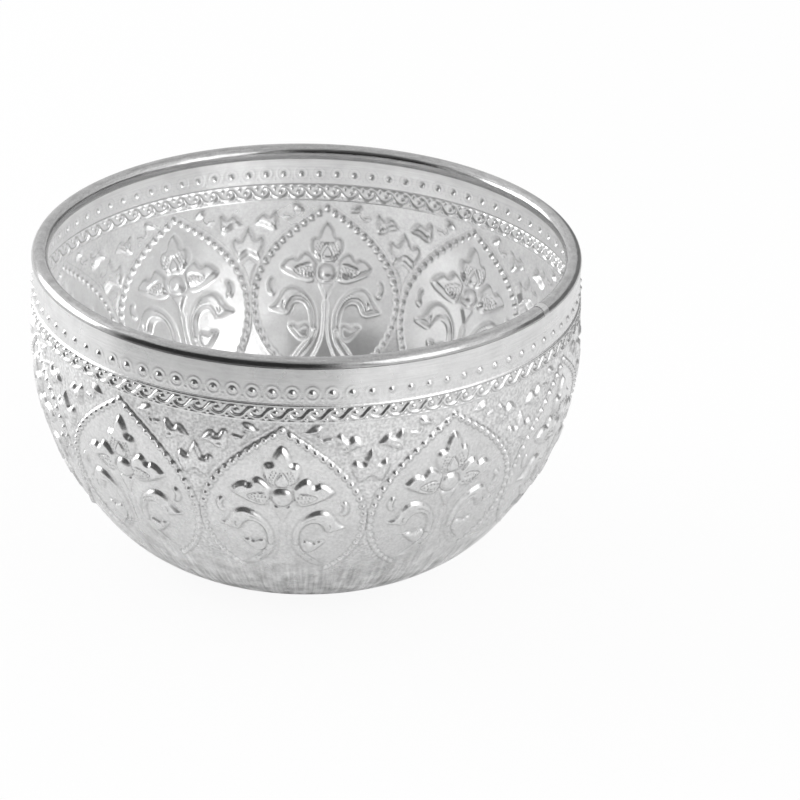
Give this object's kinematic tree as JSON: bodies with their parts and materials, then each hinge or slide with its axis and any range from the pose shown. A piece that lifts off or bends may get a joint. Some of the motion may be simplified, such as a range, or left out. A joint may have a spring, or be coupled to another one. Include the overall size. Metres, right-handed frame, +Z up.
{
  "type": "incense bowl",
  "caption": "Round-bellied bowl of pressed sheet metal with a wired bead at its mouth and a wall embossed with lotus petals, for incense, ash or offerings.",
  "frame": {"origin": "centre of the flat face that the bowl stands on", "axes": "+Z up along the bowl's axis; -Y is the front and +X is to the right of it"},
  "size_m": [0.0804, 0.0806, 0.0476],
  "materials": {
    "embossed_sheet": "satin, brightened by buffing, with a fine tooled ground",
    "polished_rim": "polished",
    "core_wire": "drawn wire",
    "solder": "wiped smooth"
  },
  "bodies": {
    "root": {"bowl_shell": "embossed_sheet", "rim_hoop": "polished_rim", "rim_wire": "core_wire", "seam_solder": "solder"}
  },
  "joints": []
}
